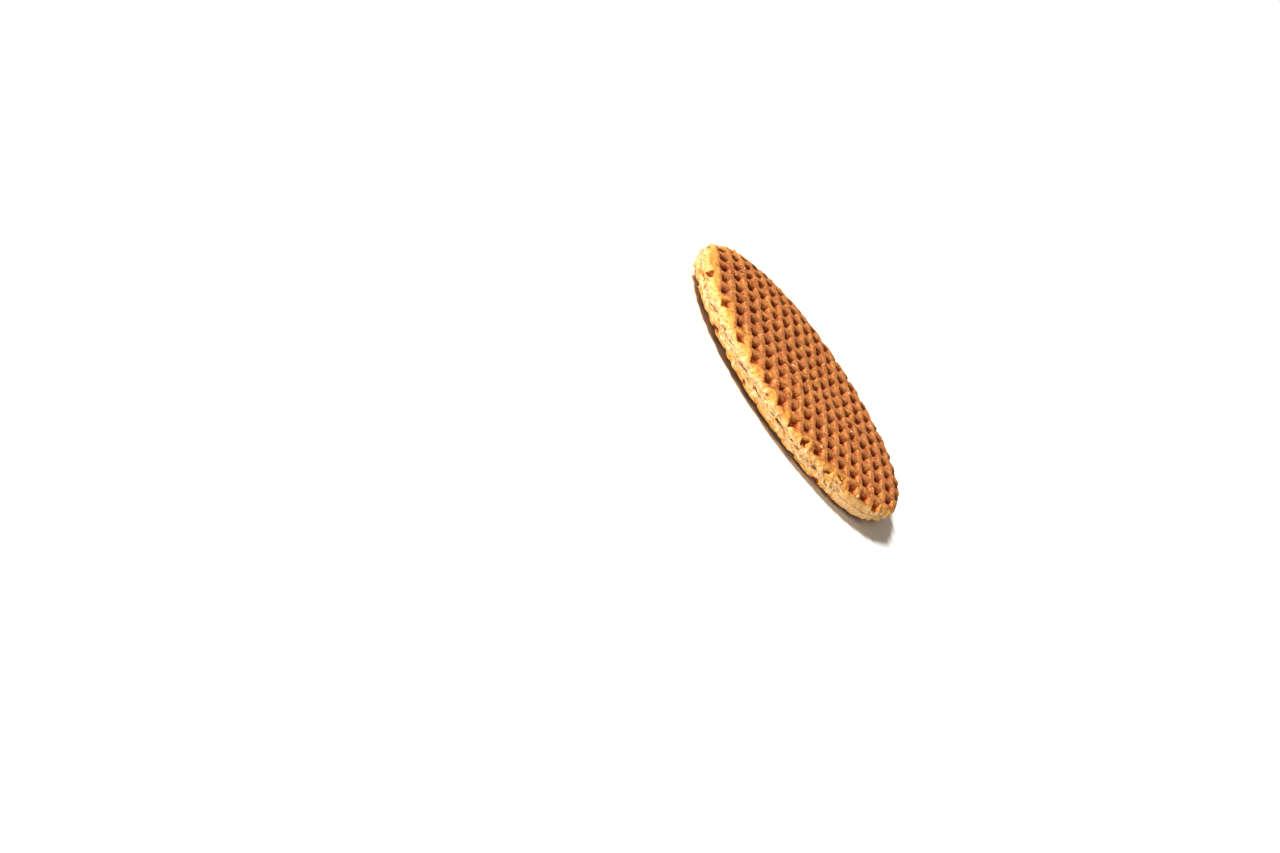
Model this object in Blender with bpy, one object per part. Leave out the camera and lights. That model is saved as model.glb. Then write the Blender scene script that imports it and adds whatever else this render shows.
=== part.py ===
"""Stroopwafel: two thin waffle halves with a layer of caramel syrup between them.

Both faces carry the slanted diamond pits of a waffle iron. The biscuit lies flat, face up:
+Z is up, and the origin is at the middle of its underside. Lengths are in metres.
"""

import math

import bmesh
import bpy

# Driving dimensions
RADIUS = 0.049
HEIGHT = 0.0077
SEAM_HEIGHT = 0.0042
SEAM_GAP = 0.0003
SYRUP_RECESS = 0.0009

# The syrup is thickest in the middle: (share of the radius, its thickness) from the edge in
SYRUP_SPREAD = ((1.0, 0.0003), (0.93, 0.0006), (0.80, 0.0011), (0.45, 0.0012), (0.0, 0.0012))

# The iron's pattern: equal-sided diamonds with 60 degree corners
DIAMOND_SIDE = 0.0072
DIAMOND_ANGLE = math.radians(60)
PATTERN_TURN = math.radians(-63.8)
PATTERN_START = (0.00154, -0.01227)
RIDGE_WIDTH = 0.0018
PIT_DEPTH = 0.0018

# The cut edge, as a share of the radius and a height: round shoulders above and below
TOP_SHOULDER = ((1.0, 0.0061), (0.985, 0.0070), (0.95, 0.0075), (0.87, HEIGHT))
BASE_SHOULDER = ((1.0, 0.0024), (0.985, 0.0015), (0.94, 0.0009), (0.72, 0.0))
BLANK_MARGIN = 0.0010
BLANK_STEP_IN = 0.05
EDGE_SEGMENTS = 64

# The outline is not quite round: (waves round the edge, share of the radius, turn in degrees)
OUTLINE_WAVES = ((2, 0.026, 42), (3, 0.012, -5), (4, 0.002, 27))
OUTLINE_INNER = 0.55

# The baked body is domed and slightly wavy. Bumps are (x, y, height); negative ones are dips
DOME_HEIGHT = 0.0041
BUMPS = ((0.0056, 0.0133, -0.0026), (-0.0119, -0.0104, -0.0018), (0.0302, -0.0221, -0.0009))
BUMP_WIDTH = 0.0147
SADDLE = (0.00026, 0.00061)
TRIPLE_WAVE = (0.00009, -0.00016)
CURL = (0.00070, -0.00051)
FLAT_SHARE = 0.70

CRUST_COLOUR = (0.50, 0.20, 0.075, 1.0)
CRUST_ROUGHNESS = 0.75
SYRUP_COLOUR = (0.12, 0.035, 0.012, 1.0)
SYRUP_ROUGHNESS = 0.30

# How the meshes are made
SAME_POINT = 0.000001
SAME_CORNER = 0.00001
SHARP_EDGE = math.radians(25)
OUTLINE_STEPS = 720


def smooth_step(low, high, value):
    """A soft ramp from 0 at low to 1 at high."""
    share = min(max((value - low) / (high - low), 0.0), 1.0)
    return share * share * (3 - 2 * share)


def edge_radius(angle):
    """Radius of the uneven outline in that direction."""
    radius = RADIUS
    for waves, share, turn in OUTLINE_WAVES:
        radius += RADIUS * share * math.cos(waves * (angle - math.radians(turn)))
    return radius


def body_lift(x, y):
    """How far the baked body stands above a flat one at that place."""
    across = x / RADIUS
    along = y / RADIUS
    square = across * across + along * along
    lift = DOME_HEIGHT * (1 - square)
    for bump_x, bump_y, height in BUMPS:
        distance = (x - bump_x) ** 2 + (y - bump_y) ** 2
        lift += height * math.exp(-distance / (2 * BUMP_WIDTH ** 2))
    lift += SADDLE[0] * (across ** 2 - along ** 2) + SADDLE[1] * 2 * across * along
    lift += TRIPLE_WAVE[0] * (across ** 3 - 3 * across * along ** 2)
    lift += TRIPLE_WAVE[1] * (3 * across ** 2 * along - along ** 3)
    lift += (square - 2 / 3) * (CURL[0] * across + CURL[1] * along)
    return lift


def outline_centre():
    """Middle of the box round the uneven outline, which is moved to the origin."""
    angles = [math.tau * step / OUTLINE_STEPS for step in range(OUTLINE_STEPS)]
    points = [(edge_radius(a) * math.cos(a), edge_radius(a) * math.sin(a)) for a in angles]
    xs = [point[0] for point in points]
    ys = [point[1] for point in points]
    return (min(xs) + max(xs)) / 2, (min(ys) + max(ys)) / 2


def bake_shape(mesh):
    """Gives a flat, round mesh the uneven outline and the baked body's lift."""
    centre_x, centre_y = outline_centre()
    for vertex in mesh.vertices:
        x, y, z = vertex.co
        distance = math.hypot(x, y)
        share = distance / RADIUS
        grow = edge_radius(math.atan2(y, x)) / RADIUS - 1
        stretch = 1 + grow * smooth_step(OUTLINE_INNER, 1.0, share)
        edge = smooth_step(FLAT_SHARE, 1.0, share)
        level = z / HEIGHT
        lift = body_lift(x, y) * (level + (1 - level) * edge)
        vertex.co = (x * stretch - centre_x, y * stretch - centre_y, max(z + lift, 0.0))


def turned_solid(name, profile):
    """Spins an open profile of (radius, height) points, which ends on the axis both ways."""
    shape = bmesh.new()
    points = [shape.verts.new((radius, 0, height)) for radius, height in profile]
    edges = [shape.edges.new(pair) for pair in zip(points, points[1:])]
    bmesh.ops.spin(
        shape,
        geom=points + edges,
        axis=(0, 0, 1),
        cent=(0, 0, 0),
        angle=math.tau,
        steps=EDGE_SEGMENTS,
        use_merge=True,
        use_duplicate=False,
    )
    bmesh.ops.remove_doubles(shape, verts=shape.verts, dist=SAME_POINT)
    bmesh.ops.recalc_face_normals(shape, faces=shape.faces)
    mesh = bpy.data.meshes.new(name)
    shape.to_mesh(mesh)
    shape.free()
    return bpy.data.objects.new(name, mesh)


def seam_line(radius, side, gap):
    """Points from the edge to the axis over the syrup (side 1) or under it (side -1)."""
    return [
        (radius * share, SEAM_HEIGHT + side * (thickness / 2 + gap))
        for share, thickness in SYRUP_SPREAD
    ]


def pressed_block(name, face_height, seam_height):
    """A slab with diamond pits pressed into its face at face_height, reaching past the seam."""
    inwards = math.copysign(1, seam_height - face_height)
    side_a = (
        DIAMOND_SIDE * math.cos(PATTERN_TURN),
        DIAMOND_SIDE * math.sin(PATTERN_TURN),
    )
    side_b = (
        DIAMOND_SIDE * math.cos(PATTERN_TURN - DIAMOND_ANGLE),
        DIAMOND_SIDE * math.sin(PATTERN_TURN - DIAMOND_ANGLE),
    )
    widest = 2 * (RADIUS + DIAMOND_SIDE)
    reach = int(widest / DIAMOND_SIDE)
    cells = range(-reach, reach + 1)
    shape = bmesh.new()
    corners = {}

    def corner(i, j):
        if (i, j) not in corners:
            x = PATTERN_START[0] + (i - 0.5) * side_a[0] + (j - 0.5) * side_b[0]
            y = PATTERN_START[1] + (i - 0.5) * side_a[1] + (j - 0.5) * side_b[1]
            corners[i, j] = shape.verts.new((x, y, face_height))
        return corners[i, j]

    for i in cells:
        for j in cells:
            x = PATTERN_START[0] + i * side_a[0] + j * side_b[0]
            y = PATTERN_START[1] + i * side_a[1] + j * side_b[1]
            if math.hypot(x, y) < RADIUS + DIAMOND_SIDE:
                shape.faces.new(
                    (corner(i, j), corner(i + 1, j), corner(i + 1, j + 1), corner(i, j + 1))
                )
    diamonds = list(shape.faces)

    rim = [edge for edge in shape.edges if edge.is_boundary]
    walls = bmesh.ops.extrude_edge_only(shape, edges=rim)["geom"]
    for item in walls:
        if isinstance(item, bmesh.types.BMVert):
            item.co.z = seam_height + inwards * BLANK_MARGIN
    far_edges = [edge for edge in shape.edges if edge.is_boundary]
    bmesh.ops.holes_fill(shape, edges=far_edges, sides=0)
    bmesh.ops.recalc_face_normals(shape, faces=shape.faces)

    bmesh.ops.inset_individual(shape, faces=diamonds, thickness=RIDGE_WIDTH / 2)
    bmesh.ops.poke(shape, faces=diamonds, offset=-PIT_DEPTH)
    mesh = bpy.data.meshes.new(name)
    shape.to_mesh(mesh)
    shape.free()
    return bpy.data.objects.new(name, mesh)


def plain_material(name, colour, roughness):
    """A plain material with that colour and roughness."""
    material = bpy.data.materials.new(name)
    material.use_nodes = True
    shader = material.node_tree.nodes["Principled BSDF"]
    shader.inputs["Base Color"].default_value = colour
    shader.inputs["Roughness"].default_value = roughness
    shader.inputs["Metallic"].default_value = 0.0
    return material


def finish(name, mesh, material):
    """Makes the finished object of a mesh: split to triangles, bent and shaded."""
    shape = bmesh.new()
    shape.from_mesh(mesh)
    bmesh.ops.remove_doubles(shape, verts=shape.verts, dist=SAME_CORNER)
    bmesh.ops.triangulate(shape, faces=shape.faces)
    shape.to_mesh(mesh)
    shape.free()
    bake_shape(mesh)
    mesh.shade_smooth()
    mesh.set_sharp_from_angle(angle=SHARP_EDGE)
    mesh.materials.clear()
    mesh.materials.append(material)
    piece = bpy.data.objects.new(name, mesh)
    bpy.context.scene.collection.objects.link(piece)
    return piece


def waffle_half(name, block, blank, material):
    """Cuts the pressed block to the turned blank's outline and shoulders."""
    collection = bpy.context.scene.collection
    collection.objects.link(block)
    collection.objects.link(blank)
    blank.hide_render = True
    blank.display_type = "WIRE"
    cut = block.modifiers.new("outline", "BOOLEAN")
    cut.operation = "INTERSECT"
    cut.solver = "EXACT"
    cut.object = blank
    graph = bpy.context.evaluated_depsgraph_get()
    mesh = bpy.data.meshes.new_from_object(block.evaluated_get(graph))
    bpy.data.objects.remove(block)
    bpy.data.objects.remove(blank)
    return finish(name, mesh, material)


for old in list(bpy.data.objects):
    bpy.data.objects.remove(old)

crust = plain_material("waffle_crust", CRUST_COLOUR, CRUST_ROUGHNESS)
syrup = plain_material("caramel_syrup", SYRUP_COLOUR, SYRUP_ROUGHNESS)

# The lower half: pits press up into its underside, and its ridges rest on the table
lower_profile = [
    (0.0, -BLANK_MARGIN),
    ((BASE_SHOULDER[-1][0] - BLANK_STEP_IN) * RADIUS, -BLANK_MARGIN),
]
lower_profile += [(share * RADIUS, height) for share, height in reversed(BASE_SHOULDER)]
lower_profile += seam_line(RADIUS, -1, SEAM_GAP)
lower_blank = turned_solid("lower_blank", lower_profile)
lower_block = pressed_block("lower_block", 0.0, SEAM_HEIGHT)
waffle_half("lower_waffle", lower_block, lower_blank, crust)

# The syrup: one spread layer through the whole biscuit, just short of the cut edge
syrup_radius = RADIUS - SYRUP_RECESS
syrup_profile = list(reversed(seam_line(syrup_radius, -1, 0.0))) + seam_line(syrup_radius, 1, 0.0)
syrup_disc = turned_solid("syrup_disc", syrup_profile)
finish("syrup_layer", syrup_disc.data, syrup)
bpy.data.objects.remove(syrup_disc)

# The upper half: the face that shows
upper_profile = list(reversed(seam_line(RADIUS, 1, SEAM_GAP)))
upper_profile += [(share * RADIUS, height) for share, height in TOP_SHOULDER]
upper_profile += [
    ((TOP_SHOULDER[-1][0] - BLANK_STEP_IN) * RADIUS, HEIGHT + BLANK_MARGIN),
    (0.0, HEIGHT + BLANK_MARGIN),
]
upper_blank = turned_solid("upper_blank", upper_profile)
upper_block = pressed_block("upper_block", HEIGHT, SEAM_HEIGHT)
waffle_half("upper_waffle", upper_block, upper_blank, crust)
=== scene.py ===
import math
import random

import bpy
from mathutils import Matrix, Vector, noise


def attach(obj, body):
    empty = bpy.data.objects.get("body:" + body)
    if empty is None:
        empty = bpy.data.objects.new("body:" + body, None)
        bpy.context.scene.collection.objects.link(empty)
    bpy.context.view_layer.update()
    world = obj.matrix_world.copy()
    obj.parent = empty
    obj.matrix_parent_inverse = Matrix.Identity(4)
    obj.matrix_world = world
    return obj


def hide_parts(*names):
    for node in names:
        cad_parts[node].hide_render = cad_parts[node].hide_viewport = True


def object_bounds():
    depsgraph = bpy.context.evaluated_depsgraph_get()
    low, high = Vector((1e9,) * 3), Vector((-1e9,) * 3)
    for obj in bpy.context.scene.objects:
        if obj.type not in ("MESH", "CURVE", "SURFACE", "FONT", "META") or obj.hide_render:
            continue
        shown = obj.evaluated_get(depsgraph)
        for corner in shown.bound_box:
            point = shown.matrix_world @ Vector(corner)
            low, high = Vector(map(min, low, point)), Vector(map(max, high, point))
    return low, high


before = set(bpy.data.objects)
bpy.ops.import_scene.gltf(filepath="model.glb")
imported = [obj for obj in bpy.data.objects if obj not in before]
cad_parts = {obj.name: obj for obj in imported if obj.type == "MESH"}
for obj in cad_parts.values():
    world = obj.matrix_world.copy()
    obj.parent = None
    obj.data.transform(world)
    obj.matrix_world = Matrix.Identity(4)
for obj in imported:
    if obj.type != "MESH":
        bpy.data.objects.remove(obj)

cad_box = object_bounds()

# The lower waffle. A stroopwafel is one thin waffle, pressed and baked between two patterned
# plates, trimmed round and split flat through the middle while hot. This half lies with its
# pressed face down, resting on the ridges between its diamond pits, cut crumb uppermost.

RADIUS = 0.049
HEIGHT = 0.0077
SEAM_HEIGHT = 0.0042

# The iron's diamonds have equal sides and 60 degree corners
DIAMOND_SIDE = 0.0072
DIAMOND_PITCH = DIAMOND_SIDE * math.sin(math.radians(60))
PATTERN_TURN = math.radians(-63.8)
PATTERN_START = (0.00154, -0.01227)
DIAMONDS_ACROSS = 35
RIDGE_HALF_WIDTH = 0.00105
PIT_DEPTH = 0.0017
PIT_WALL_RUN = 0.0010
RIDGE_ROUNDING = 0.06
FLOOR_ROUNDING = 0.15

# Mesh lines on either side of a ridge, as distances from its middle
RIDGE_LINES = (
    0.0, 0.00036, 0.00070, 0.00098, 0.00116, 0.00142, 0.00172, 0.00204, 0.00250, DIAMOND_PITCH / 2,
)

# The outline is not quite round: (waves round the edge, share of the radius, turn in degrees)
OUTLINE_WAVES = ((2, 0.026, 42), (3, 0.012, -5), (4, 0.002, 27))
OUTLINE_INNER = 0.55
OUTLINE_STEPS = 720

# The baked body is domed and slightly wavy. Bumps are (x, y, height); negative ones are dips
DOME_HEIGHT = 0.0041
BUMPS = ((0.0056, 0.0133, -0.0026), (-0.0119, -0.0104, -0.0018), (0.0302, -0.0221, -0.0009))
BUMP_WIDTH = 0.0147
SADDLE = (0.00026, 0.00061)
TRIPLE_WAVE = (0.00009, -0.00016)
CURL = (0.00070, -0.00051)
FLAT_SHARE = 0.70


def smooth_step(low, high, value):
    """A soft ramp from 0 at low to 1 at high."""
    share = min(max((value - low) / (high - low), 0.0), 1.0)
    return share * share * (3 - 2 * share)


def between(table, place):
    """Reads a table of (place, value) rows, easing from row to row."""
    if place <= table[0][0]:
        return table[0][1]
    for (before, low), (after, high) in zip(table, table[1:]):
        if place <= after:
            return low + (high - low) * smooth_step(before, after, place)
    return table[-1][1]


def edge_radius(angle):
    """Radius of the uneven outline in that direction."""
    radius = RADIUS
    for waves, share, turn in OUTLINE_WAVES:
        radius += RADIUS * share * math.cos(waves * (angle - math.radians(turn)))
    return radius


def outline_middle():
    """Middle of the box round the uneven outline, which is moved to the origin."""
    angles = [math.tau * step / OUTLINE_STEPS for step in range(OUTLINE_STEPS)]
    xs = [edge_radius(angle) * math.cos(angle) for angle in angles]
    ys = [edge_radius(angle) * math.sin(angle) for angle in angles]
    return (min(xs) + max(xs)) / 2, (min(ys) + max(ys)) / 2


def body_lift(x, y):
    """How far the baked body stands above a flat one at that place."""
    across = x / RADIUS
    along = y / RADIUS
    square = across * across + along * along
    lift = DOME_HEIGHT * (1 - square)
    for bump_x, bump_y, height in BUMPS:
        distance = (x - bump_x) ** 2 + (y - bump_y) ** 2
        lift += height * math.exp(-distance / (2 * BUMP_WIDTH ** 2))
    lift += SADDLE[0] * (across ** 2 - along ** 2) + SADDLE[1] * 2 * across * along
    lift += TRIPLE_WAVE[0] * (across ** 3 - 3 * across * along ** 2)
    lift += TRIPLE_WAVE[1] * (3 * across ** 2 * along - along ** 3)
    lift += (square - 2 / 3) * (CURL[0] * across + CURL[1] * along)
    return lift


MIDDLE_X, MIDDLE_Y = outline_middle()


def bake_point(x, y, z):
    """Carries a point of the flat, round waffle to its place in the baked one."""
    share = math.hypot(x, y) / RADIUS
    grow = edge_radius(math.atan2(y, x)) / RADIUS - 1
    stretch = 1 + grow * smooth_step(OUTLINE_INNER, 1.0, share)
    level = z / HEIGHT
    edge = smooth_step(FLAT_SHARE, 1.0, share)
    lift = body_lift(x, y) * (level + (1 - level) * edge)
    return x * stretch - MIDDLE_X, y * stretch - MIDDLE_Y, max(z + lift, 0.0)


def in_diamonds(x, y):
    """The place in the pattern: whole numbers are pit middles, halves are ridges."""
    x -= PATTERN_START[0]
    y -= PATTERN_START[1]
    turn_b = PATTERN_TURN - math.radians(60)
    whole = math.sin(turn_b - PATTERN_TURN) * DIAMOND_SIDE
    u = (x * math.sin(turn_b) - y * math.cos(turn_b)) / whole
    v = (y * math.cos(PATTERN_TURN) - x * math.sin(PATTERN_TURN)) / whole
    return u, v


def ridge_distance(x, y):
    """Distance to the middle of the nearest ridge."""
    u, v = in_diamonds(x, y)
    return (0.5 - max(abs(u - round(u)), abs(v - round(v)))) * DIAMOND_PITCH


# Where the dough no longer filled the iron: (direction in degrees, how far in from the edge)
UNFILLED = (
    (0, 0.0012), (60, 0.0012), (120, 0.0014), (136, 0.0046), (155, 0.0044), (190, 0.0036),
    (210, 0.0037), (228, 0.0037), (248, 0.0034), (270, 0.0031), (300, 0.0037), (318, 0.0030),
    (335, 0.0014), (360, 0.0012),
)
UNFILLED_DROP = 0.0007
UNDERSIDE_DROP = 0.3
SHALLOW_PITS = 0.35
UNFILLED_FULL = 0.0040


def ripple(x, y, z, size, seed):
    """Smooth noise from about -1 to 1 whose waves are about that size."""
    return noise.noise(Vector((x / size + seed, y / size, z / size)))


def direction_of(x, y):
    """Direction from the middle, in degrees from 0 to 360."""
    return math.degrees(math.atan2(y, x)) % 360


def pit_share(x, y):
    """0 on the crown of a ridge to 1 on the floor of a pit, with both bends rounded."""
    down = (ridge_distance(x, y) - RIDGE_HALF_WIDTH) / PIT_WALL_RUN
    down = (down + math.hypot(down, RIDGE_ROUNDING)) / 2
    left = 1 - down
    return 1 - (left + math.hypot(left, FLOOR_ROUNDING)) / 2


def unfilled_reach(x, y):
    """How far in from the edge the dough stopped short of the iron in that direction."""
    return between(UNFILLED, direction_of(x, y)) * (1 + 0.35 * ripple(x, y, 0, 0.007, 21.0))


def dough_drop(x, y):
    """How far the dough itself lies under the tops of the ridges; near the edge it thins out."""
    reach = unfilled_reach(x, y)
    drop = UNFILLED_DROP * min(reach / UNFILLED_FULL, 1.0)
    return drop * max(1 - (RADIUS - math.hypot(x, y)) / reach, 0.0) ** 0.5


def diamond_unfilled(u, v):
    """From 0 to 1, how golden the diamond at that place stayed; whole diamonds share it."""
    turn_b = PATTERN_TURN - math.radians(60)
    x = PATTERN_START[0] + (round(u) * math.cos(PATTERN_TURN) + round(v) * math.cos(turn_b)) * DIAMOND_SIDE
    y = PATTERN_START[1] + (round(u) * math.sin(PATTERN_TURN) + round(v) * math.sin(turn_b)) * DIAMOND_SIDE
    inward = RADIUS - math.hypot(x, y)
    return smooth_step(0.0006, -0.0006, inward - unfilled_reach(x, y))


def only(kind):
    """Leaves nothing selected in the mesh at hand, ready for parts to be picked by place."""
    bpy.ops.object.mode_set(mode="EDIT")
    bpy.ops.mesh.select_mode(type=kind)
    bpy.ops.mesh.select_all(action="DESELECT")
    bpy.ops.object.mode_set(mode="OBJECT")


def rim_order(mesh):
    """The vertices round the open edge of a mesh, in order."""
    uses = {}
    for face in mesh.polygons:
        for key in face.edge_keys:
            uses[key] = uses.get(key, 0) + 1
    beside = {}
    for (one, other), count in uses.items():
        if count == 1:
            beside.setdefault(one, []).append(other)
            beside.setdefault(other, []).append(one)
    order = [min(beside)]
    previous = None
    while True:
        onward = [index for index in beside[order[-1]] if index != previous]
        if onward[0] == order[0]:
            return order
        previous = order[-1]
        order.append(onward[0])


def spaced_line(place):
    """Moves an evenly spaced mesh line to its place beside a ridge; ridges are whole numbers."""
    diamond = math.floor(place)
    side = place - diamond
    line = min(side, 1 - side) * 2 * (len(RIDGE_LINES) - 1)
    low = min(round(line), len(RIDGE_LINES) - 1)
    distance = RIDGE_LINES[low] / DIAMOND_PITCH
    return diamond + (distance if side < 0.5 else 1 - distance)


# The side of a half, from its face to the cut: (share of the radius, share of the way down)
SIDE_STEPS = (
    (0.990, 0.02), (0.9945, 0.05), (0.9975, 0.10), (0.9992, 0.17), (1.0, 0.25), (1.0, 0.34),
    (1.0, 0.43), (1.0, 0.52), (1.0, 0.61), (1.0, 0.70), (1.0, 0.79), (1.0, 0.87), (0.9992, 0.93),
    (0.9965, 0.975), (0.990, 1.0), (0.980, 1.0), (0.955, 1.0), (0.88, 1.0), (0.70, 1.0),
    (0.45, 1.0), (0.2, 1.0),
)
FACE_SHARE = 0.985
FACE_STEP_IN = 0.0003
RING_EASE = 5


def flat_half(name):
    """A flat, round half: its face of fine diamonds at height 1, its side, its cut at height 0."""
    lines = 2 * (len(RIDGE_LINES) - 1) * DIAMONDS_ACROSS
    bpy.ops.object.select_all(action="DESELECT")
    bpy.ops.mesh.primitive_grid_add(x_subdivisions=lines, y_subdivisions=lines, size=DIAMONDS_ACROSS)
    half = bpy.context.object
    half.name = name
    mesh = half.data
    mesh.name = name
    for vertex in mesh.vertices:
        vertex.co.x = spaced_line(vertex.co.x - 0.5) + 0.5
        vertex.co.y = spaced_line(vertex.co.y - 0.5) + 0.5

    # From squares to diamonds: half a quarter turn, a stretch, then the pattern's own turn
    diamond = Matrix.Rotation(math.radians(45), 4, "Z")
    diamond = Matrix.Diagonal((1, math.sqrt(3), 1, 1)) @ diamond
    diamond = Matrix.Rotation(PATTERN_TURN + math.radians(60), 4, "Z") @ diamond
    diamond = Matrix.Scale(DIAMOND_SIDE / math.sqrt(2), 4) @ diamond
    mesh.transform(Matrix.Translation((*PATTERN_START, 1.0)) @ diamond)

    only("FACE")
    reach = FACE_SHARE * RADIUS - FACE_STEP_IN
    outside = [math.hypot(vertex.co.x, vertex.co.y) > reach for vertex in mesh.vertices]
    for face in mesh.polygons:
        face.select = any(outside[index] for index in face.vertices)
    bpy.ops.object.mode_set(mode="EDIT")
    bpy.ops.mesh.delete(type="FACE")
    bpy.ops.object.mode_set(mode="OBJECT")

    # The slopes of a pit meet along its diagonals, so the faces there get a middle point
    only("FACE")
    for face in mesh.polygons:
        u, v = in_diamonds(face.center.x, face.center.y)
        face.select = abs(abs(u - round(u)) - abs(v - round(v))) < 0.001
    bpy.ops.object.mode_set(mode="EDIT")
    bpy.ops.mesh.poke()
    bpy.ops.object.mode_set(mode="OBJECT")

    # One ring of faces takes the stepped edge out to an even circle
    order = rim_order(mesh)
    turns = [math.atan2(mesh.vertices[index].co.y, mesh.vertices[index].co.x) for index in order]
    for place in range(1, len(turns)):
        turns[place] += math.tau * round((turns[place - 1] - turns[place]) / math.tau)
    whole = math.copysign(math.tau, turns[-1] - turns[0])
    even = {}
    for place, index in enumerate(order):
        near = range(place - RING_EASE, place + RING_EASE + 1)
        total = sum(turns[step % len(turns)] + whole * (step // len(turns)) for step in near)
        even[index] = total / len(near)
    only("VERT")
    for index in order:
        mesh.vertices[index].select = True
    bpy.ops.object.mode_set(mode="EDIT")
    bpy.ops.mesh.extrude_edges_move()
    bpy.ops.object.mode_set(mode="OBJECT")
    for edge in mesh.edges:
        for inner, outer in (edge.vertices, reversed(edge.vertices)):
            if inner in even and mesh.vertices[outer].select and outer not in even:
                mesh.vertices[outer].co.x = FACE_SHARE * RADIUS * math.cos(even[inner])
                mesh.vertices[outer].co.y = FACE_SHARE * RADIUS * math.sin(even[inner])

    bpy.ops.object.mode_set(mode="EDIT")
    share, down = FACE_SHARE, 0.0
    for next_share, next_down in SIDE_STEPS:
        bpy.ops.mesh.extrude_edges_move()
        grow = next_share / share
        bpy.ops.transform.resize(value=(grow, grow, 1), center_override=(0, 0, 0))
        bpy.ops.transform.translate(value=(0, 0, down - next_down))
        share, down = next_share, next_down
    bpy.ops.mesh.edge_face_add()
    bpy.ops.mesh.select_all(action="SELECT")
    bpy.ops.mesh.normals_make_consistent(inside=False)
    bpy.ops.object.mode_set(mode="OBJECT")
    return half


# The face's edge leans away: (share of the radius, how far in from the face's own level)
TOP_LEAN = ((0.88, 0.0), (0.95, 0.0002), (1.0, 0.0010))
BASE_LEAN = ((0.72, 0.0), (0.84, 0.0003), (0.94, 0.0008), (1.0, 0.0013))

# The syrup is thickest in the middle: (share of the radius, its thickness) from the middle out
SYRUP_SPREAD = ((0.0, 0.0012), (0.45, 0.0012), (0.80, 0.0011), (0.93, 0.0006), (0.975, 0.0002))
SEAM_CLEARANCE = 0.00004

# Where the halves stand apart at the edge: (direction in degrees, half its length, its opening)
SEAM_SLOTS = (
    (279, 0.0026, 0.00034), (290.5, 0.0012, 0.00028), (268, 0.0008, 0.00016), (246, 0.0014, 0.00014),
    (221, 0.0010, 0.00012), (301, 0.0012, 0.00016), (20, 0.0022, 0.00024), (64, 0.0014, 0.00020),
    (111, 0.0030, 0.00030), (152, 0.0012, 0.00018), (186, 0.0010, 0.00012), (5, 0.0014, 0.00020),
)

# A flake broken off the upper edge: its direction, half length, and how far in it reaches
CHIP_DIRECTION = math.radians(331)
CHIP_HALF_LENGTH = 0.0125
CHIP_REACH = 0.0017
CHIP_LEFT = 0.0003


# A golden stain on the crumb of the side
STAIN_DIRECTION = math.radians(213)
STAIN_HALF_LENGTH = 0.0024
STAIN_HALF_HEIGHT = 0.0013


def around(x, y, direction):
    """Distance along the edge from a direction, in radians, to a point's own direction."""
    turn = math.atan2(y, x) - direction
    turn -= math.tau * round(turn / math.tau)
    return turn * RADIUS


def seam_opening(x, y):
    """How far the halves stand apart at the edge in that direction."""
    opening = 0.0009 * max(ripple(x, y, 0, 0.0030, 3.1) - 0.20, 0) - 0.00004
    for direction, half_length, height in SEAM_SLOTS:
        distance = around(x, y, math.radians(direction)) / half_length
        opening += height * math.exp(-distance ** 4)
    return opening


def chip_height(x, y, cut):
    """Height of the smooth, slanted break where the flake came off; far above it elsewhere."""
    along = around(x, y, CHIP_DIRECTION) / CHIP_HALF_LENGTH
    inward = RADIUS - math.hypot(x, y)
    rise = (HEIGHT - cut) * inward / CHIP_REACH + 0.0040 * along ** 4
    return cut + CHIP_LEFT + rise + 0.0003 * ripple(x, y, 0, 0.0030, 9.3)


# How browned the crust is, from 0 for pale crumb to 1 for nearly burnt. The pit and floor levels are partly
# real browning and partly painted shade
RIDGE_BROWN = 0.56
PIT_BROWN_AND_SHADE = 0.735
FLOOR_BROWN_AND_SHADE = 0.86
MARGIN_BROWN = 0.38
SPOT_BROWN = 0.86
CORNER_BROWN = 0.16
CRUMB_BROWN = 0.05
CHIP_BROWN = 0.14
STAIN_BROWN = 0.34


# The torn crumb lies this far, on average, inside the round cut that its highest lumps reach
CRUMB_DEPTH = 0.0007
CUTTER_ROUNDING = 0.0002

# Shares of the side's height: pits that run out over the edge end at the first, and above the
# second the crumb runs up evenly into the face
SIDE_FOOT = 0.30
SHOULDER_LEVEL = 0.80


def crumb_push(x, y, z, seed):
    """How far in from the round cut the torn crumb lies: flaky lumps and small open pores."""
    push = 0.0011 * ripple(x, y, 1.5 * z, 0.0034, seed) + 0.0008 * ripple(x, y, 1.8 * z, 0.0016, seed)
    push += 0.0004 * ripple(x, y, 2 * z, 0.0008, seed)
    pore = noise.voronoi(Vector((x, y, 1.6 * z)) / 0.0024)[0][0]
    push -= 0.0004 * smooth_step(0.30, 0.10, pore) + CRUMB_DEPTH
    return (push - math.hypot(push, CUTTER_ROUNDING)) / 2


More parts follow.
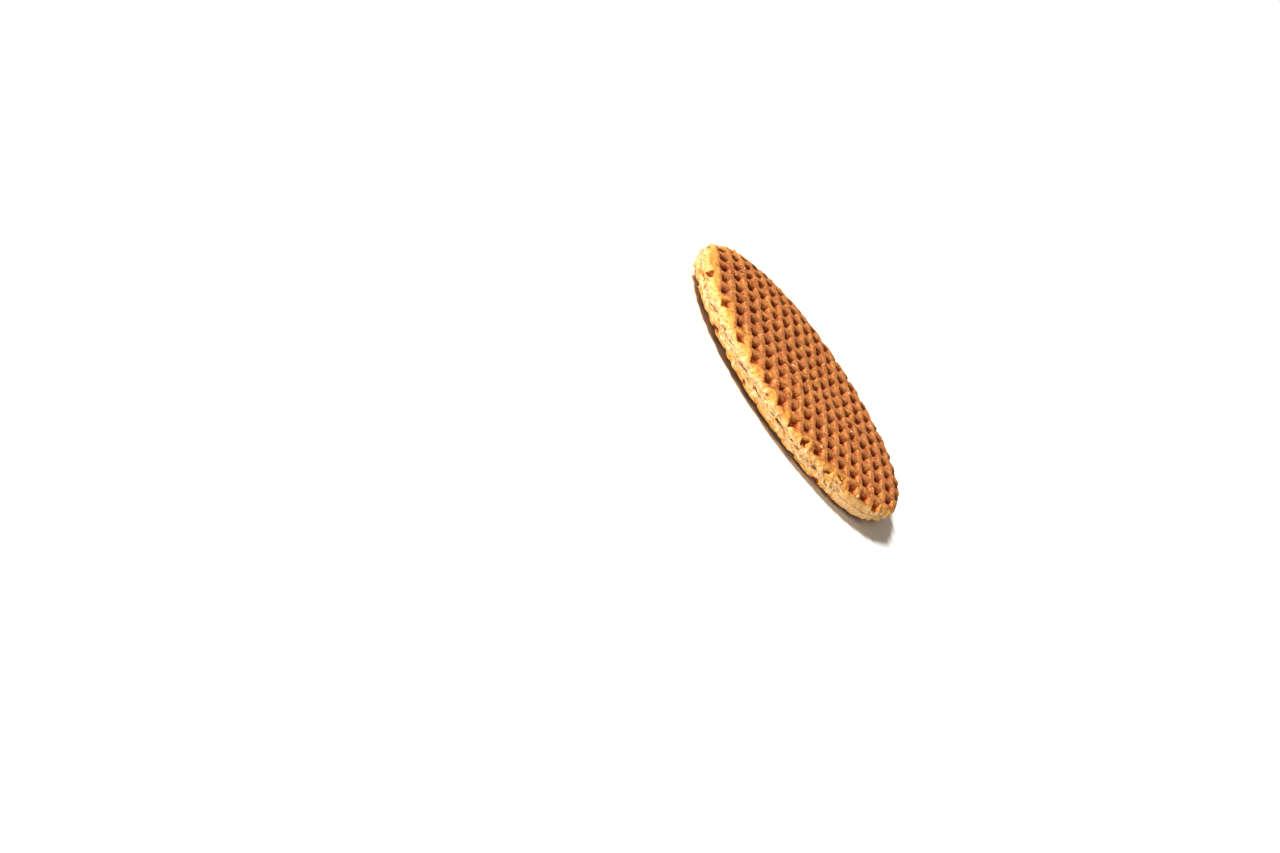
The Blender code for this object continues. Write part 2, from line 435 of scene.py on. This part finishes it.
def bake_half(half, upper):
    """Gives a flat half its pits, rough crumb, edge and baked form, and notes how browned it is, with painted
    shade in its pits.
    """
    mesh = half.data
    notes = {"browned": [], "crumbly": [], "torn": []}
    places = []
    seed = 0.0 if upper else 41.7
    for vertex in mesh.vertices:
        x, y, level = vertex.co
        distance = math.hypot(x, y)
        share = distance / RADIUS
        out_x, out_y = (x / distance, y / distance) if distance > 0 else (0.0, 0.0)
        face = max((level - SIDE_FOOT) / (1 - SIDE_FOOT), 0.0)
        near_edge = smooth_step(0.955, 1.0, share)

        # The iron's pyramid there, the dough's own surface, and which of them lies deeper
        u, v = in_diamonds(x, y)
        own = noise.cell(Vector((round(u) + seed, round(v) + 0.5, 0.5)))
        pit = pit_share(x, y)
        golden = diamond_unfilled(u, v)
        pressed = PIT_DEPTH * pit * (0.82 + 0.18 * own) * (1 - SHALLOW_PITS * golden)
        free = dough_drop(x, y) * (1.0 if upper else UNDERSIDE_DROP)
        lumps = 0.00055 * ripple(x, y, 0, 0.0024, seed + 8) + 0.00030 * ripple(x, y, 0, 0.0012, seed + 8)
        free += smooth_step(0.0, 0.0006, free) * lumps
        deeper = pressed - free
        contact = (deeper + math.hypot(deeper, 0.00008)) / 2

        # Heights of the face and of the cut at this distance from the middle
        thick = between(SYRUP_SPREAD, share) / 2 + SEAM_CLEARANCE
        if share > 0.975:
            thick = seam_opening(x, y) / 2
        uneven = smooth_step(0.90, 0.98, share)
        uneven *= 0.0007 * ripple(x, y, 0, 0.0075, 13.0) + 0.0005 * ripple(x, y, 0, 0.0026, 13.0)
        if upper:
            top = HEIGHT - between(TOP_LEAN, share)
            cut = SEAM_HEIGHT + uneven + thick
        else:
            top = between(BASE_LEAN, share)
            cut = SEAM_HEIGHT + uneven - thick
        inward = math.copysign(1, cut - top)
        z = cut + (top + inward * free - cut) * level

        # Ridge crowns are rounded, worn and uneven, and the whole crust is grainy
        crown = min(ridge_distance(x, y) / RIDGE_HALF_WIDTH, 1.0)
        worn = max(ripple(x, y, 0, 0.0042, seed + 5), 0) * 0.00034 * (1 - pit)
        grain = 0.00014 * ripple(x, y, z, 0.0023, seed) + 0.00012 * ripple(x, y, z, 0.0011, seed)
        grain += 0.00009 * ripple(x, y, z, 0.0006, seed)
        grain *= 1 - 0.5 * pit
        lowered = contact + 0.00008 * crown * crown + worn + grain + (0.00014 if upper else 0.00004)
        z += inward * face * lowered

        # The side is torn crumb, and the lower edge is the most ragged. The break is smoother
        side_z = cut + (top - cut) * min(level, SHOULDER_LEVEL)
        push = crumb_push(out_x * RADIUS, out_y * RADIUS, side_z, seed + 2)
        if not upper:
            ragged = max(ripple(x, y, 0, 0.0030, 7.7) + 0.3, 0)
            push -= smooth_step(0.35, 0.95, level) * 0.0010 * ragged
        near_cut = smooth_step(0.14, 0.0, level)
        push -= near_cut * 0.0006 * max(ripple(x, y, 0, 0.003, 4.4), 0)
        broken = chip_height(x, y, cut)
        at_break = smooth_step(1.10, 0.85, abs(around(x, y, CHIP_DIRECTION)) / CHIP_HALF_LENGTH)
        push *= near_edge * (1 - 0.8 * at_break)
        bare = 0.0
        if upper and level > 0:
            bare = smooth_step(-0.0001, 0.0003, z - broken) * at_break
            z = min(z, max(broken, cut + 0.0003 * level)) if at_break > 0 else z
        inside = 1 - near_edge
        wander_x = 0.00036 * ripple(x, y, 0, 0.010, seed + 11) + 0.00034 * ripple(x, y, 0, 0.0042, seed + 11)
        wander_y = 0.00036 * ripple(x, y, 0, 0.010, seed + 17) + 0.00034 * ripple(x, y, 0, 0.0042, seed + 17)
        places.append(bake_point(x + out_x * push + wander_x * inside, y + out_y * push + wander_y * inside, z))

        # The iron browns what it touched, and the pits carry painted shade besides. The rest of the face stays
        # golden, and the crumb pale
        brown = RIDGE_BROWN + (PIT_BROWN_AND_SHADE - RIDGE_BROWN) * smooth_step(0.15, 0.6, pit)
        brown += (FLOOR_BROWN_AND_SHADE - PIT_BROWN_AND_SHADE) * smooth_step(0.7, 1.0, pit)
        inner = 1 - 2 * max(abs(u - round(u)), abs(v - round(v)))
        touched = smooth_step(0.0, 0.0005, deeper) * smooth_step(0.12, 0.85, inner + 0.3 * own)
        brown += (MARGIN_BROWN + (SPOT_BROWN - MARGIN_BROWN) * touched - brown) * golden
        corner = smooth_step(0.955, 0.988, share) * smooth_step(0.0, 0.0004, free) * (1 - touched)
        brown += (CORNER_BROWN - brown) * corner
        crumb = smooth_step(0.01, 0.12, 1 - level)
        brown += (CRUMB_BROWN - brown) * crumb
        if not upper:
            brown += 0.30 * smooth_step(0.60, 0.95, level) * crumb
        stain = around(x, y, STAIN_DIRECTION) / STAIN_HALF_LENGTH
        stain = crumb * math.exp(-stain ** 4 - ((z - SEAM_HEIGHT) / STAIN_HALF_HEIGHT) ** 4)
        brown += (STAIN_BROWN - brown) * stain
        brown += (CHIP_BROWN - brown) * bare
        notes["browned"].append(min(max(brown, 0.0), 1.0))
        notes["crumbly"].append(max(crumb, 0.6 * corner) * (1 - 0.7 * at_break))
        notes["torn"].append(crumb * smooth_step(0.50, 0.05, level) * (1 - 0.7 * at_break))

    for vertex, place in zip(mesh.vertices, places):
        vertex.co = place
    for kind, values in notes.items():
        layer = mesh.attributes.new(kind, "FLOAT", "POINT")
        layer.data.foreach_set("value", values)
    # Laying the lower half face down turned its faces inward
    if not upper:
        only("FACE")
        bpy.ops.object.mode_set(mode="EDIT")
        bpy.ops.mesh.select_all(action="SELECT")
        bpy.ops.mesh.flip_normals()
        bpy.ops.object.mode_set(mode="OBJECT")
    bpy.ops.object.shade_smooth()


class Wire:
    """One value in a material's nodes. Sums on it add Math nodes."""

    def __init__(self, tree, socket=None):
        self.tree = tree
        self.socket = socket

    def node(self, kind, settings, values, output=0):
        """Adds a node: its settings first, then the numbers or wires of its sockets."""
        made = self.tree.nodes.new(kind)
        for name, value in settings.items():
            if name == "stops":
                while len(made.color_ramp.elements) < len(value):
                    made.color_ramp.elements.new(1.0)
                for element, (place, colour) in zip(made.color_ramp.elements, value):
                    element.position = place
                    element.color = (*colour, 1.0)
            else:
                setattr(made, name, value)
        for name, value in values.items():
            if isinstance(value, Wire):
                self.tree.links.new(value.socket, made.inputs[name])
            else:
                made.inputs[name].default_value = value
        return Wire(self.tree, made.outputs[output])

    def sum(self, operation, first, second, clamp=False):
        settings = {"operation": operation, "use_clamp": clamp}
        return self.node("ShaderNodeMath", settings, {0: first, 1: second})

    def __add__(self, other):
        return self.sum("ADD", self, other)

    def __sub__(self, other):
        return self.sum("SUBTRACT", self, other)

    def __rsub__(self, other):
        return self.sum("SUBTRACT", other, self)

    def __mul__(self, other):
        return self.sum("MULTIPLY", self, other)

    __radd__ = __add__
    __rmul__ = __mul__

    def mix(self, colour, other, share):
        """Blends two colours by this share of the second."""
        values = {0: share, 6: colour, 7: other}
        return self.node("ShaderNodeMix", {"data_type": "RGBA"}, values, 2)

    def ramp(self, stops):
        return self.node("ShaderNodeValToRGB", {"stops": stops}, {0: self})

    def range(self, low, high):
        """Spreads this value from low to high over 0 to 1."""
        return self.node("ShaderNodeMapRange", {}, {0: self, 1: low, 2: high})


def new_material(name):
    """A Principled material: its own start wire, its place coordinates, and its shader."""
    material = bpy.data.materials.new(name)
    material.use_nodes = True
    start = Wire(material.node_tree)
    place = start.node("ShaderNodeTexCoord", {}, {}, 3)
    return material, start, place, material.node_tree.nodes["Principled BSDF"]


def speckle(start, place, size, detail=3.0, roughness=0.55):
    """Noise whose blotches are about that size."""
    values = {"Vector": place, "Scale": 1 / size, "Detail": detail, "Roughness": roughness}
    return start.node("ShaderNodeTexNoise", {}, values)


# Colours along the browned level; the darker stops also serve as painted shade in the pits
CRUST_COLOURS = (
    (0.00, (0.80, 0.59, 0.36)),
    (0.16, (0.80, 0.51, 0.23)),
    (0.38, (0.80, 0.42, 0.10)),
    (0.56, (0.54, 0.235, 0.105)),
    (0.74, (0.42, 0.104, 0.009)),
    (0.88, (0.21, 0.054, 0.010)),
    (1.00, (0.11, 0.019, 0.002)),
)
CARAMEL_SPECKS = (0.78, 0.42, 0.12, 1.0)
# Pale pink specks: partly paler crust, partly painted sheen on the ridges
PINK_SPECKS_AND_SHEEN = (0.70, 0.39, 0.25, 1.0)
FLECK_COLOUR = (0.30, 0.21, 0.11, 1.0)
BURNT_SPECKS = (0.07, 0.016, 0.006, 1.0)


def crust_material(name):
    """Baked waffle: darker in the pits by browning and painted shade, tan on the ridges, golden at the margin,
    pale crumb.
    """
    material, start, place, shader = new_material(name)
    browned = start.node("ShaderNodeAttribute", {"attribute_name": "browned"}, {}, 2)
    crumbly = start.node("ShaderNodeAttribute", {"attribute_name": "crumbly"}, {}, 2)
    torn = start.node("ShaderNodeAttribute", {"attribute_name": "torn"}, {}, 2)
    patches = speckle(start, place, 0.006).range(0.3, 0.7)
    blotches = speckle(start, place, 0.0015).range(0.3, 0.7)
    grain = speckle(start, place, 0.0005).range(0.3, 0.7)
    level = browned + (patches - 0.5) * 0.12 + (blotches - 0.5) * 0.24 + (grain - 0.5) * 0.22
    level = level + (blotches - 0.4) * crumbly * 0.15
    colour = level.ramp(CRUST_COLOURS)

    # Specks of caramel gold, and of paler pink crust that also serve as painted sheen on the ridges
    baked = browned.range(0.40, 0.52) * browned.range(0.80, 0.66)
    gold = speckle(start, place, 0.0010).range(0.55, 0.66) * baked
    colour = start.mix(colour, CARAMEL_SPECKS, gold * 0.7)
    pink_crust_and_sheen = speckle(start, place, 0.0007, 2.0).range(0.58, 0.68) * baked
    colour = start.mix(colour, PINK_SPECKS_AND_SHEEN, pink_crust_and_sheen * 0.7)
    burnt = speckle(start, place, 0.0021, 1.0).range(0.72, 0.80) * baked
    colour = start.mix(colour, BURNT_SPECKS, burnt * 0.8)

    # Pores and dark flecks in the crumb, most of them along the cut
    values = {0: place, 1: (1.0, 1.0, 2.2)}
    layered = start.node("ShaderNodeVectorMath", {"operation": "MULTIPLY"}, values)
    flecks = speckle(start, layered, 0.0010, 2.0).range(0.62, 0.67) * crumbly
    dark = speckle(start, layered, 0.0015, 3.0).range(0.57, 0.62) * torn
    colour = start.mix(colour, FLECK_COLOUR, flecks * 0.40)
    colour = start.mix(colour, FLECK_COLOUR, dark * 0.75)
    shader.inputs["Specular IOR Level"].default_value = 0.18
    start.tree.links.new(colour.socket, shader.inputs["Base Color"])
    rough = 0.48 + crumbly * 0.34 + (blotches - 0.5) * 0.20
    start.tree.links.new(rough.socket, shader.inputs["Roughness"])
    pores = speckle(start, place, 0.0005, 2.0).range(0.50, 0.30) * crumbly
    height = grain * 0.4 + speckle(start, place, 0.0009) * 0.7 - flecks * 0.6 - dark * 0.8 - pores * 0.2
    bump = start.node("ShaderNodeBump", {}, {"Strength": 0.9, "Distance": 0.00022, "Height": height})
    start.tree.links.new(bump.socket, shader.inputs["Normal"])
    return material


lower = flat_half("lower_waffle_baked")
bake_half(lower, upper=False)
lower.data.materials.append(crust_material("lower_crust"))
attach(lower, "root")
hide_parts("lower_waffle")

# The caramel syrup. It is spread warm on the lower half and presses out nearly to the edge
# when the upper half is laid on. Set, it is a thin, dark, glossy layer that holds both halves.

SYRUP_RECESS = 0.0016
SYRUP_RINGS = 12
SYRUP_VERTICES = 256

bpy.ops.object.select_all(action="DESELECT")
bpy.ops.mesh.primitive_cylinder_add(vertices=SYRUP_VERTICES, radius=1.0, depth=2.0)
syrup = bpy.context.object
syrup.name = "caramel_syrup"
bpy.ops.object.mode_set(mode="EDIT")
bpy.ops.mesh.select_mode(type="FACE")
bpy.ops.mesh.select_all(action="DESELECT")
bpy.ops.object.mode_set(mode="OBJECT")
for face in syrup.data.polygons:
    face.select = abs(face.normal.z) > 0.5
bpy.ops.object.mode_set(mode="EDIT")
for ring in range(SYRUP_RINGS):
    bpy.ops.mesh.inset(thickness=1.0 / (SYRUP_RINGS + 2), use_individual=True)
bpy.ops.object.mode_set(mode="OBJECT")
for vertex in syrup.data.vertices:
    x, y, side = vertex.co
    share = math.hypot(x, y)
    recess = SYRUP_RECESS + 0.0006 * ripple(x, y, 0, 0.11, 5.0)
    radius = share * (RADIUS - recess)
    thickness = between(SYRUP_SPREAD, radius / RADIUS)
    direction = math.atan2(y, x)
    vertex.co = bake_point(
        radius * math.cos(direction),
        radius * math.sin(direction),
        SEAM_HEIGHT + math.copysign(thickness / 2, side),
    )
bpy.ops.object.shade_smooth_by_angle(angle=math.radians(40))

material, start, place, shader = new_material("caramel")
streaks = speckle(start, place, 0.003)
shader.inputs["Roughness"].default_value = 0.22
shader.inputs["Coat Weight"].default_value = 0.3
colour = streaks.ramp(((0.3, (0.060, 0.016, 0.005)), (0.7, (0.15, 0.045, 0.012))))
start.tree.links.new(colour.socket, shader.inputs["Base Color"])
syrup.data.materials.append(material)
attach(syrup, "root")
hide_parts("syrup_layer")

# The upper waffle: the other half of the same split waffle, pressed face up. Its edge is
# plain and pale on one side, where the dough stopped short of the iron's pattern.

upper = flat_half("upper_waffle_baked")
bake_half(upper, upper=True)
upper.data.materials.append(crust_material("upper_crust"))
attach(upper, "root")
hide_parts("upper_waffle")

# Crumbs that cling to the cut side. Trimming the hot waffle tears its edge, and small lumps of
# the soft inside stay stuck to it, the biggest on the shoulder beside the broken flake.

RIM_CRUMBS = 150
RIM_CRUMB_SIZES = (0.00022, 0.00052)
RIM_CRUMB_LEVELS = (0.0024, 0.0066)
SHOULDER_CRUMBS = 5
SHOULDER_DIRECTIONS = (303, 317)
SHOULDER_SIZES = (0.0006, 0.0011)
SHOULDER_INSET = (0.0004, 0.0018)
CRUMB_SINK = 0.35
SHOULDER_SINK = 0.50
CRUMB_COLOURS = (
    (0.30, (0.58, 0.30, 0.07)),
    (0.48, (0.76, 0.46, 0.15)),
    (0.64, (0.80, 0.60, 0.32)),
)

draw = random.Random(16)


def lump(place, size, stretch, fineness=2):
    """A small uneven grain at that place, longer one way by that stretch."""
    bpy.ops.mesh.primitive_ico_sphere_add(subdivisions=fineness, radius=1.0, location=place)
    grain = bpy.context.object
    grain.scale = (size * stretch, size, size * draw.uniform(0.6, 1.0))
    grain.rotation_euler = [draw.uniform(0, math.tau) for axis in range(3)]
    for vertex in grain.data.vertices:
        vertex.co *= 1 + 0.7 * noise.noise(vertex.co * 1.5 + Vector(place) * 900)
    return grain


def joined(lumps, name):
    """Joins lumps into one piece at the origin, kept inside the biscuit's own box."""
    bpy.ops.object.select_all(action="DESELECT")
    for grain in lumps:
        grain.select_set(True)
    bpy.context.view_layer.objects.active = lumps[0]
    bpy.ops.object.join()
    bpy.ops.object.transform_apply(location=True, rotation=True, scale=True)
    piece = bpy.context.object
    piece.name = name
    low, high = cad_box
    for vertex in piece.data.vertices:
        for axis in range(3):
            vertex.co[axis] = min(max(vertex.co[axis], low[axis]), high[axis])
    bpy.ops.object.shade_smooth()
    return piece


bpy.context.view_layer.update()
crumbs = []
while len(crumbs) < RIM_CRUMBS:
    direction = draw.uniform(0, math.tau)
    half = draw.choice((upper, lower))
    outside = Vector((2 * RADIUS * math.cos(direction), 2 * RADIUS * math.sin(direction), 0))
    outside.z = draw.uniform(*RIM_CRUMB_LEVELS)
    hit, place, normal, face = half.ray_cast(outside, Vector((-outside.x, -outside.y, 0)).normalized())
    size = draw.uniform(*RIM_CRUMB_SIZES)
    if hit:
        crumbs.append(lump(place - normal * size * CRUMB_SINK, size, draw.uniform(1.0, 1.9)))
for step in range(SHOULDER_CRUMBS):
    direction = math.radians(draw.uniform(*SHOULDER_DIRECTIONS))
    reach = edge_radius(direction) - draw.uniform(*SHOULDER_INSET)
    above = (reach * math.cos(direction) - MIDDLE_X, reach * math.sin(direction) - MIDDLE_Y, 2 * HEIGHT)
    hit, place, normal, face = upper.ray_cast(above, (0, 0, -1))
    size = draw.uniform(*SHOULDER_SIZES)
    if hit:
        crumbs.append(lump(place - normal * size * SHOULDER_SINK, size, draw.uniform(1.0, 1.6), 4))
rim_crumbs = joined(crumbs, "rim_crumbs")
material, start, place, shader = new_material("clinging_crumb")
colour = speckle(start, place, 0.0012).ramp(CRUMB_COLOURS)
start.tree.links.new(colour.socket, shader.inputs["Base Color"])
shader.inputs["Roughness"].default_value = 0.8
pores = speckle(start, place, 0.0003)
bump = start.node("ShaderNodeBump", {}, {"Strength": 0.8, "Distance": 0.0001, "Height": pores})
start.tree.links.new(bump.socket, shader.inputs["Normal"])
rim_crumbs.data.materials.append(material)
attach(rim_crumbs, "root")

# Sugar grains on the face. Coarse sugar in the dough half melts on the hot iron and sets as
# small, pale, shiny specks, mostly on the slopes of the pits.

SUGAR_GRAINS = 56
SUGAR_SIZES = (0.00014, 0.00030)
SUGAR_REACH = 0.95
SUGAR_COLOURS = ((0.4, (0.92, 0.74, 0.62)), (0.6, (0.90, 0.58, 0.38)))

grains = []
while len(grains) < SUGAR_GRAINS:
    direction = draw.uniform(0, math.tau)
    reach = SUGAR_REACH * RADIUS * math.sqrt(draw.random())
    above = (reach * math.cos(direction), reach * math.sin(direction), 2 * HEIGHT)
    hit, place, normal, face = upper.ray_cast(above, (0, 0, -1))
    if hit and draw.random() > normal.z ** 4 * 0.7:
        grains.append(lump(place, draw.uniform(*SUGAR_SIZES), draw.uniform(1.0, 2.2)))
sugar = joined(grains, "sugar_grains")
material, start, place, shader = new_material("melted_sugar")
colour = speckle(start, place, 0.004).ramp(SUGAR_COLOURS)
start.tree.links.new(colour.socket, shader.inputs["Base Color"])
rough = speckle(start, place, 0.0004).range(-0.6, 2.0)
start.tree.links.new(rough.socket, shader.inputs["Roughness"])
shader.inputs["Coat Weight"].default_value = 0.5
sugar.data.materials.append(material)
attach(sugar, "root")

# The table: a plain, pale studio floor under soft light from the left.

FLOOR_SIZE = 14.0

bpy.ops.object.select_all(action="DESELECT")
bpy.ops.mesh.primitive_plane_add(size=FLOOR_SIZE)
table = bpy.context.object
table.name = "table"
material, start, place, shader = new_material("pale_table")
shader.inputs["Base Color"].default_value = (0.95, 0.95, 0.95, 1.0)
shader.inputs["Roughness"].default_value = 0.6
table.data.materials.append(material)

SKY_LIGHT = 0.35
KEY_DIRECTION = math.radians(-182)
KEY_HEIGHT = math.radians(42)
KEY_SOFTNESS = math.radians(12)
KEY_POWER = 4.05
FILL_DIRECTION = math.radians(-88)
FILL_HEIGHT = math.radians(3)
FILL_SOFTNESS = math.radians(8)
FILL_POWER = 2.8

world = bpy.data.worlds.new("studio")
world.use_nodes = True
world.node_tree.nodes["Background"].inputs["Color"].default_value = (1.0, 0.90, 0.76, 1.0)
world.node_tree.nodes["Background"].inputs["Strength"].default_value = SKY_LIGHT
bpy.context.scene.world = world


def soft_lamp(name, direction, height, softness, power):
    """A broad lamp far away in that direction and at that height over the table."""
    bpy.ops.object.light_add(type="SUN", location=(math.cos(direction), math.sin(direction), 1))
    lamp = bpy.context.object
    lamp.name = name
    lamp.rotation_euler = (math.radians(90) - height, 0, direction + math.radians(90))
    lamp.data.angle = softness
    lamp.data.energy = power


soft_lamp("key_lamp", KEY_DIRECTION, KEY_HEIGHT, KEY_SOFTNESS, KEY_POWER)
soft_lamp("fill_lamp", FILL_DIRECTION, FILL_HEIGHT, FILL_SOFTNESS, FILL_POWER)

# The camera looks low across the face and is tilted, so that the biscuit seems to lean.

LENS = 98.44
SENSOR = 36.0
LOOK_AT = Vector((-0.01258, -0.17064, 0.0042))
LOOK_DISTANCE = 0.8908
LOOK_FROM = math.radians(-89.19)
LOOK_DOWN = math.radians(16.02)
LOOK_TILT = math.radians(56.38)

away = Vector((
    math.cos(LOOK_FROM) * math.cos(LOOK_DOWN),
    math.sin(LOOK_FROM) * math.cos(LOOK_DOWN),
    math.sin(LOOK_DOWN),
))
bpy.ops.object.camera_add(location=LOOK_AT + away * LOOK_DISTANCE)
camera = bpy.context.object
level_view = away.to_track_quat("Z", "Y").to_matrix()
camera.rotation_euler = (level_view @ Matrix.Rotation(LOOK_TILT, 3, "Z")).to_euler()
camera.data.lens = LENS
camera.data.sensor_width = SENSOR
bpy.context.scene.camera = camera
bpy.context.scene.view_settings.view_transform = "Standard"
bpy.context.scene.view_settings.gamma = 0.74
